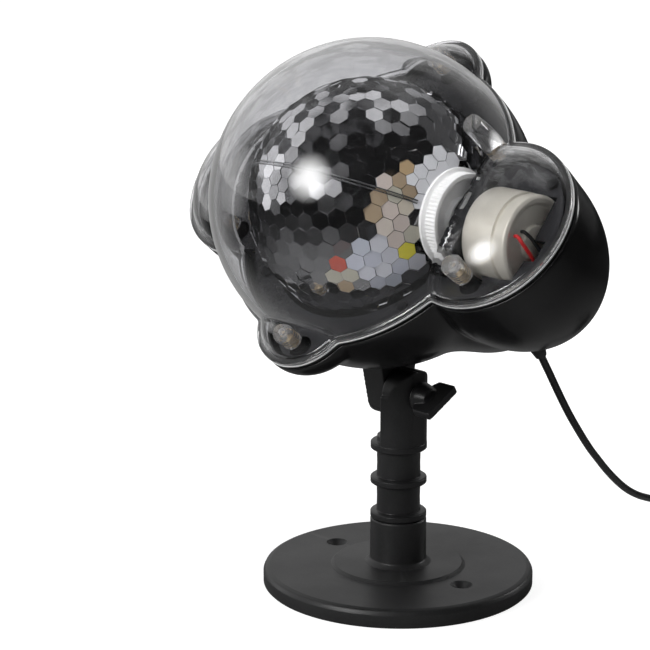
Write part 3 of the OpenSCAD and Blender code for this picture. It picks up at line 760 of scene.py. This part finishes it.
# The haze of a facet that takes a painted reflection tint, and the grooves' own tint
PAINTED_REFLECTION_HAZE, GROOVE_TINT = 0.8, (0.8, 0.8, 0.82, 1)


def facet_mirror_or_painted_reflection(middle, dice):
    """Colour and haze of a facet: mirror, or a painted reflection tint inside a group."""
    for way, size, tones, share in PAINTED_REFLECTION_GROUPS:
        if middle.angle(Vector(way)) < size:
            if dice.random() < share:
                return tones[dice.randrange(len(tones))], PAINTED_REFLECTION_HAZE
            break
    v = dice.uniform(0.80, 0.90)
    return (v, v, v * 1.02), 0.0


def mirror_half(name, side, node):
    """One half of the ball's shell: leaning facets over shallow grooves, with a plain inside."""
    corners, cells = goldberg(9)
    dice = random.Random(7)
    bm = bmesh.new()
    low = [bm.verts.new(c * (BALL_R - GROOVE_IN)) for c in corners]
    core = [bm.verts.new(c * (BALL_R - BALL_T)) for c in corners]
    tint = bm.loops.layers.float_color.new("facet_tint_and_painted_reflection")
    haze = bm.faces.layers.float.new("facet_haze")
    for middle, order in cells:
        lean = Vector((dice.gauss(0, 1), dice.gauss(0, 1), dice.gauss(0, 1))) * LEAN
        normal = (middle + lean).normalized()
        # Facets inside a group may take a painted reflection tint in place of the mirror
        colour, dull = facet_mirror_or_painted_reflection(middle, dice)
        if middle.x * BALL_R > BALL_CUT:
            continue
        centre = middle * (BALL_R - FACET_IN)
        top = []
        for k in order:
            p = corners[k] * BALL_R
            p = centre + (p - middle * p.dot(middle)) * FILL
            p -= normal * ((p - centre).dot(normal))
            top.append(bm.verts.new(p))
        face = bm.faces.new(top)
        n = len(order)
        faces = [face] + [bm.faces.new((low[order[i]], low[order[(i + 1) % n]], top[(i + 1) % n], top[i]))
                          for i in range(n)]
        bm.faces.new([core[k] for k in reversed(order)])
        for f in faces:
            f[haze] = dull if f is face else 0.0
            for loop in f.loops:
                loop[tint] = (*colour, 1) if f is face else GROOVE_TINT
    cut_normal = SPLIT_ACROSS * side
    bmesh.ops.bisect_plane(bm, geom=bm.verts[:] + bm.edges[:] + bm.faces[:], plane_co=cut_normal * 0.08,
                           plane_no=-cut_normal, clear_outer=True, dist=1e-5)
    open_edges = [e for e in bm.edges if e.is_boundary]
    bmesh.ops.bridge_loops(bm, edges=open_edges)
    bmesh.ops.recalc_face_normals(bm, faces=bm.faces)
    mesh = bpy.data.meshes.new(name)
    bm.to_mesh(mesh)
    bm.free()
    mesh.transform(Matrix.Scale(MM, 4) @ HEAD)
    obj = bpy.data.objects.new(name, mesh)
    bpy.context.collection.objects.link(obj)
    settled(obj, MIRROR, "ball", "mirror_film", node)


mirror_half("mirror_half_front", -1, "ball_half_front")
mirror_half("mirror_half_back", 1, "ball_half_back")

# Parting bead: two thin raised lips where the halves meet
# They start and stop short of the hub
lips = []
for offset in (-0.55, 0.55):
    turn = [math.radians(25.5) + math.radians(360 - 51) * k / 180 for k in range(181)]
    lips.append(sweep([(Vector((math.cos(a), 0, 0)) + SPLIT_ALONG * math.sin(a)) * (BALL_R + 0.1)
                       + SPLIT_ACROSS * offset for a in turn], 0.28, 8))
piece("parting_lips", joined(*lips), HUB_SILVER, "ball", HEAD, sharp=60)

# ---------- hub, shaft, motor ----------


def hub_ribs(angle, r, z):
    """72 ribs round the outside of the hub's collar."""
    return r - 0.25 * (1 - math.cos(72 * angle)) if 44.8 < z < 49.2 and r > 15 else r


HUB = [(2.5, 41.2), (14, 41.2, 0.4), (14.1, 43.02), (18.4, 43.04, 0.3), (18.6, 44.2, 0.4), (17.1, 44.6, 0.2),
       (17.0, 44.9), (17.0, 48.9), (16.8, 49.4, 0.3), (15.2, 49.4, 0.3), (14.8, 46.6, 0.8), (8, 46, 0.5),
       (7.4, 48, 0.4), (3.4, 48.2, 0.3), (2.5, 47.8)]
CAN = [(0, 58.05), (17.5, 58.05, 1.4), (17.5, 72.2, 0.3), (16.7, 72.5, 0.2), (16.5, 72.8, 0.1), (16.5, 73.5, 0.1),
       (16.7, 73.8, 0.2), (17.3, 74.1, 0.4), (17.3, 78.2, 1.0), (16.1, 78.9, 0.5), (14.6, 78.7, 0.6),
       (13.4, 77.3, 0.8), (6.6, 77.2, 0.5), (6.2, 78.6, 0.4), (0, 78.7)]
MOTOR_AT = HEAD @ Matrix.Translation((0, 0, -8)) @ ALONG_X
piece("ribbed_hub", ring_lathe(HUB, 288, hub_ribs), HUB_WHITE, "ball", HEAD @ ALONG_X, sharp=30,
      stands_for=["ball_hub"])
piece("motor_can", lathe(CAN, 128), MOTOR, "head", MOTOR_AT, sharp=40, stands_for=["motor_body"])

# Two leads from the motor's end, which go down behind the panel
WIRE_R = 0.68
WIRES = [[(79.1, s * 1.6 - 3, 3 - s), (80.6, s * 1.6 - 3, 3 - s), (82.4, s * 2 - 4, 0.5 - s), (83, s * 2.2 - 5, -5),
          (82.8, s * 2.6 - 5.5, -16), (81.6, s * 2.8 - 5.5, -26), (76, s * 3 - 5, -36), (67, s * 3 - 4, -43)]
         for s in SIDES]
piece("motor_lead_red", sweep(smooth_path(WIRES[0], 5), WIRE_R, 10), WIRE_RED, "head", HEAD, 60,
      stands_for=["motor_wires"])
piece("motor_lead_black", sweep(smooth_path(WIRES[1], 5), WIRE_R, 10), WIRE_BLACK, "head", HEAD, 60)

# ---------- base: disc with a step, a socket and two countersunk holes ----------
BASE = [(0, 0), (53.2, 0, 0.4), (54, 0.8, 0.4), (54, 5.3, 1), (53.2, 7.0, 1.4), (51.4, 7.5, 1.2), (28, 7.5),
        (26.9, 7.5, 0.5), (26.0, 8.3, 0.4), (25.6, 8.7, 0.4), (13.2, 8.7, 0.8), (11.3, 10.4, 1), (11.2, 26.8, 0.4),
        (10.8, 27.35, 0.3), (8.6, 27.35, 0.2), (8.5, 26.6), (0, 26.6)]
SCREW_HOLE = [(0, -1), (2.2, -1), (2.2, 5.3), (4.4, 7.5), (4.9, 8.5), (0, 8.5)]
HOLE_X = 34.8
base = piece("base_plate", lathe(BASE, 192), BASE_BLACK, sharp=32)
for s in SIDES:
    combine(base, lathe(SCREW_HOLE, 48), "DIFFERENCE", Matrix.Translation((s * HOLE_X, 0, 0)))
mod = base.modifiers.new("edges", "BEVEL")
mod.width, mod.segments, mod.limit_method, mod.angle_limit = 0.00018, 2, "ANGLE", math.radians(50)
baked(base)
base.data.shade_smooth()
base.data.set_sharp_from_angle(angle=math.radians(32))
settled(base, None, "stand", "base_abs", "base_disc")

# ---------- pole: three collars and the fixed half of the knuckle ----------


def collar(z, h, r=11.2):
    """The outline of a rounded collar of height h round the pole."""
    return [(8.75, z - 0.1, 0.3), (r - 0.5, z + 0.1, 0.45), (r, z + 0.5, 0.3), (r, z + h - 0.5, 0.3),
            (r - 0.5, z + h - 0.1, 0.45), (8.75, z + h + 0.1, 0.3)]


TUBE = ([(0, 5.2), (8.4, 5.2), (8.4, 27.3)] + collar(27.5, 2.9) + [(8.6, 36)] + collar(41.7, 3) + [(8.6, 50)]
        + collar(55.9, 3.2) + [(8.6, 61.3), (0, 61.3)])
piece("pole_tube", lathe(TUBE, 128), BLACK, "stand", sharp=32, stands_for=["pole"])

# The fixed half: a flat-faced cheek that grows out of the round column
COLUMN_R, KNUCKLE_R, GAP, STUD_BORE = 11.1, 10.2, 0.15, 2.56
cheek = piece("knuckle_fixed", lathe([(0, 57), (COLUMN_R, 57), (COLUMN_R, HINGE_Z), (0, HINGE_Z)], 96), None)
combine(cheek, rod(KNUCKLE_R, GAP, 11.2, 96), "UNION")
combine(cheek, lathe([(0, 50), (11.15, 50), (11.15, 120), (0, 120)], 96), "INTERSECT")
combine(cheek, box((GAP, -20, 50), (10.6, 20, 110)), "INTERSECT")
combine(cheek, rod(STUD_BORE, -5, 20), "DIFFERENCE")
softened(cheek, 0.4, 3)
settled(cheek, BLACK, "stand", "black_abs")

# The head's half: a tongue that widens upwards, and the neck that flares into the bowl
TONGUE_R, TONGUE_LOW, TONGUE_WIDE = 6.6, -3.6, 10.8
tongue = [(TONGUE_R * math.cos(a), TONGUE_LOW + TONGUE_R * math.sin(a)) for a in
          [math.radians(193 + 154 * k / 40) for k in range(41)]]
tongue += [(TONGUE_WIDE, 14.5), (TONGUE_WIDE, 15.5), (-TONGUE_WIDE, 15.5), (-TONGUE_WIDE, 14.5)]
neck = piece("knuckle_head", loft([[(x, y, z + HINGE_Z) for y, z in tongue] for x in (-11.2, -GAP)], True, True),
             None)
flare = lathe([(0, 92), (8.8, 92), (9.6, 94.4), (11.5, 98), (15, 102), (17, 104.5), (0, 104.5)], 96)
combine(neck, flare, "UNION")
bowl = lathe([((BOWL_R + 0.05) * math.cos(a), (BOWL_R + 0.05) * math.sin(a)) for a in
              [math.radians(-90 + 180 * k / 96) for k in range(97)]], 160)
combine(neck, bowl, "DIFFERENCE", HEAD @ Matrix.Translation((0, 0, SEAM)))
combine(neck, rod(STUD_BORE, -20, 20), "DIFFERENCE")
combine(neck, rod(4.7, -14, -5.4, 6), "DIFFERENCE")  # the nut's pocket
softened(neck, 0.4, 3)
settled(neck, BLACK, "head", "black_abs", "head_bracket")

# ---------- wing knob ----------
WING = [(1.5, -4.6), (2.4, -7, 0.5), (3.8, -8.8, 1.4), (12.2, -8.8, 0.9), (12.2, 8.8, 0.9), (3.8, 8.8, 1.4),
        (2.4, 7, 0.5), (1.5, 4.6)]
# The wing's outline lies in the x-y plane, from the hub's foot to the tip
wing = loft([[(x, y, z) for x, y in rounded(WING, 6)] for z in (-1.6, 1.6)], True, True)
KNOB_HUB = [(0, 0), (6.2, 0, 0.5), (5.9, 2, 1), (4.2, 6.3, 0.8), (0, 6.5)]
AT_KNOB = Matrix.Translation((11.5, 0, 0))
WING_TURN = Matrix.Rotation(math.radians(-61.5), 4, "X")
knob = piece("knob", moved(lathe(KNOB_HUB, 64), AT_KNOB @ ALONG_X), None, where=HINGE)
combine(knob, wing, "UNION", HINGE @ WING_TURN @ AT_KNOB @ Matrix.Rotation(math.pi / 2, 4, "X"))
softened(knob, 0.3, 4)
settled(knob, BLACK, "knob", "black_abs", "wing_knob")

# ---------- carried-over CAD nodes: better materials and eased edges ----------
CARRIED = {
    "hinge_stud": STEEL, "hinge_nut": STEEL, "knob_washer": STEEL, "bracket_screws": STEEL,
    "inner_panel": PANEL_BLACK, "panel_screws": BLACK_STEEL, "hub_cap": HUB_SILVER, "motor_shaft": STEEL,
    "gear_case": INNER_BLACK, "motor_bracket": INNER_BLACK, "motor_screws": BLACK_STEEL, "ball_axle": STEEL,
    "axle_bush": BRASS, "bush_bracket": INNER_BLACK, "bush_screws": BLACK_STEEL, "lamp_board": BOARD_WHITE,
    "lamp_heatsink": ALU, "lamp_lens": LENS, "lamp_screws": STEEL, "lamp_wires": WIRE_WHITE,
    "driver_board": BOARD_GREEN, "board_screws": STEEL, "driver_parts": CASES, "cord_gland": RUBBER,
    "gland_nut": INNER_BLACK,
}
for node, material in CARRIED.items():
    obj = NODES[node]
    obj.data.materials.clear()
    obj.data.materials.append(material)
    if node not in ("lamp_wires", "lamp_lens"):
        mod = obj.modifiers.new("edges", "BEVEL")
        mod.width = 0.0009 if node == "gear_case" else 0.0002
        mod.segments, mod.limit_method, mod.angle_limit = 3, "ANGLE", math.radians(40)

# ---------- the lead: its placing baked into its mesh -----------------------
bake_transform(cord)


# ---------- stage: pale floor, studio lights and their surroundings ----------
def direct_view(nodes, rays):
    """1 for what the eye sees straight or through clear plastic, 0 for what a surface mirrors."""
    through = nodes.math("LESS_THAN", rays.outputs["Glossy Depth"], 0.5)
    through = nodes.math("MULTIPLY", through, rays.outputs["Is Transmission Ray"])
    return nodes.math("MAXIMUM", rays.outputs["Is Camera Ray"], through)


floor_mesh = bpy.data.meshes.new("floor")
floor_mesh.from_pydata([(-9, -9, 0), (9, -9, 0), (9, 9, 0), (-9, 9, 0)], [], [(0, 1, 2, 3)])
floor = bpy.data.objects.new("floor", floor_mesh)
bpy.context.collection.objects.link(floor)
s = Shader("floor_paper")
rays = s.add("ShaderNodeLightPath")
distance = s.add("ShaderNodeVectorMath", {0: s.place()}, operation="LENGTH").outputs["Value"]
# White paper to the eye: it glows, and less near the base, which paints a soft shade round the base
paper = s.add("ShaderNodeBsdfDiffuse", {"Color": grey(0.35)})
shine = s.add("ShaderNodeEmission", {"Strength": s.ramp(distance, 0.08, 0.35, 0.9, 1.02)})
lit = s.add("ShaderNodeAddShader", {0: shine.outputs[0], 1: paper.outputs[0]})
# The gloss of the object meets it dimmer, and dark far away; its matt surfaces get a soft bounce
dim = s.add("ShaderNodeBsdfDiffuse", {"Color": s.mix(s.ramp(distance, 0.1, 0.45, 0.22, 0.03), grey(0.0), grey(1.0))})
bounce = s.add("ShaderNodeEmission", {"Strength": 0.4})
soft = s.add("ShaderNodeAddShader", {0: dim.outputs[0], 1: bounce.outputs[0]})
dim = s.blended(rays.outputs["Is Diffuse Ray"], dim, soft)
s.show(s.blended(direct_view(s, rays), dim, lit))
floor_mesh.materials.append(s.material)

# Directions in the studio: its dark end, where the picture is taken from, and its dim side
DARK_END, DIM_SIDE = (0.69457, -0.67426, 0.25089), (0.69654, 0.71752, 0)
GAP_LEVEL, CARD_LEVEL, PLAIN_LEVEL, DIM_LEVEL, DARK_LEVEL = 0.05, 0.95, 0.62, 0.09, 0.012
world = bpy.data.worlds.new("studio")
bpy.context.scene.world = world
world.use_nodes = True
w = Nodes(world.node_tree)
w.tree.nodes.clear()
way = w.add("ShaderNodeTexCoord").outputs["Generated"]
path = w.add("ShaderNodeLightPath")
# Cards and gaps round the studio, which the facets pick up one by one
noise = w.add("ShaderNodeTexNoise", {"Vector": way, "Scale": 7.0, "Detail": 2.0, "Roughness": 0.5}).outputs["Fac"]
cards = w.mix(w.ramp(noise, 0.47, 0.53, 0.0, 1.0), grey(GAP_LEVEL), grey(CARD_LEVEL))
# Only what is seen through the cover meets them; the cover's own gloss is even
inside = w.ramp(path.outputs["Transmission Depth"], 0.4, 0.6, 0.0, 1.0)
level = w.mix(inside, grey(PLAIN_LEVEL), cards)
level = w.mix(w.ramp(w.along(way, DIM_SIDE), 0.0, 0.6, 0.0, 1.0), level, grey(DIM_LEVEL))
level = w.mix(w.ramp(w.along(way, DARK_END), -0.15, 0.3, 0.0, 1.0), level, grey(DARK_LEVEL))
back = w.add("ShaderNodeBackground", {"Color": w.mix(direct_view(w, path), level, grey(1.0)), "Strength": 1.0})
w.tree.links.new(back.outputs[0], w.add("ShaderNodeOutputWorld").inputs[0])

VIEW = camera.matrix_world.to_3x3()
AIM_AT = Vector((0.01, -0.01, 0.14))


def softbox(name, way, distance, size, power, edge=0.05, glossy=True, facets=True):
    """A square area light that fades from edge to 0.5 of its size; way is the picture's right, up and back.

    glossy: the surfaces mirror it. facets: it is seen through the cover, as the ball's facets mirror it.
    """
    light = bpy.data.lights.new(name, "AREA")
    light.shape, light.size, light.energy = "SQUARE", size, power
    light.use_nodes = True
    s = Nodes(light.node_tree)
    spot = s.add("ShaderNodeNewGeometry").outputs["Parametric"]
    from_middle = s.add("ShaderNodeVectorMath", {0: spot, 1: (0.5, 0.5, 0)}, operation="DISTANCE").outputs["Value"]
    fade = s.add("ShaderNodeMapRange", {"Value": from_middle, "From Min": 0.5, "From Max": edge, "To Min": 0.0,
                                        "To Max": 1.0}, interpolation_type="SMOOTHSTEP").outputs[0]
    s.put(light.node_tree.nodes["Emission"], "Strength", fade)
    obj = bpy.data.objects.new(name, light)
    place = AIM_AT + (VIEW @ Vector(way)).normalized() * distance
    obj.matrix_world = Matrix.Translation(place) @ (place - AIM_AT).to_track_quat("Z", "Y").to_matrix().to_4x4()
    bpy.context.collection.objects.link(obj)
    obj.visible_glossy, obj.visible_transmission = glossy, facets


LEFT = (-0.67, 0.22, 0.70)
softbox("left_box", LEFT, 0.8, 0.5, 13, facets=False)
softbox("left_facets", LEFT, 0.81, 0.5, 0.7, glossy=False)
softbox("top_glow", (0.226, 0.969, 0.107), 0.95, 0.62, 0.55)
softbox("left_back", (-0.93, 0.12, -0.35), 0.9, 0.7, 1.6)
softbox("top_fill", (0.0, 0.95, 0.3), 1.1, 0.5, 14, edge=0.25, glossy=False, facets=False)
softbox("right_rim", (0.9, 0.35, -0.35), 1.0, 0.4, 3, edge=0.25)

bpy.context.scene.view_settings.view_transform = "Standard"
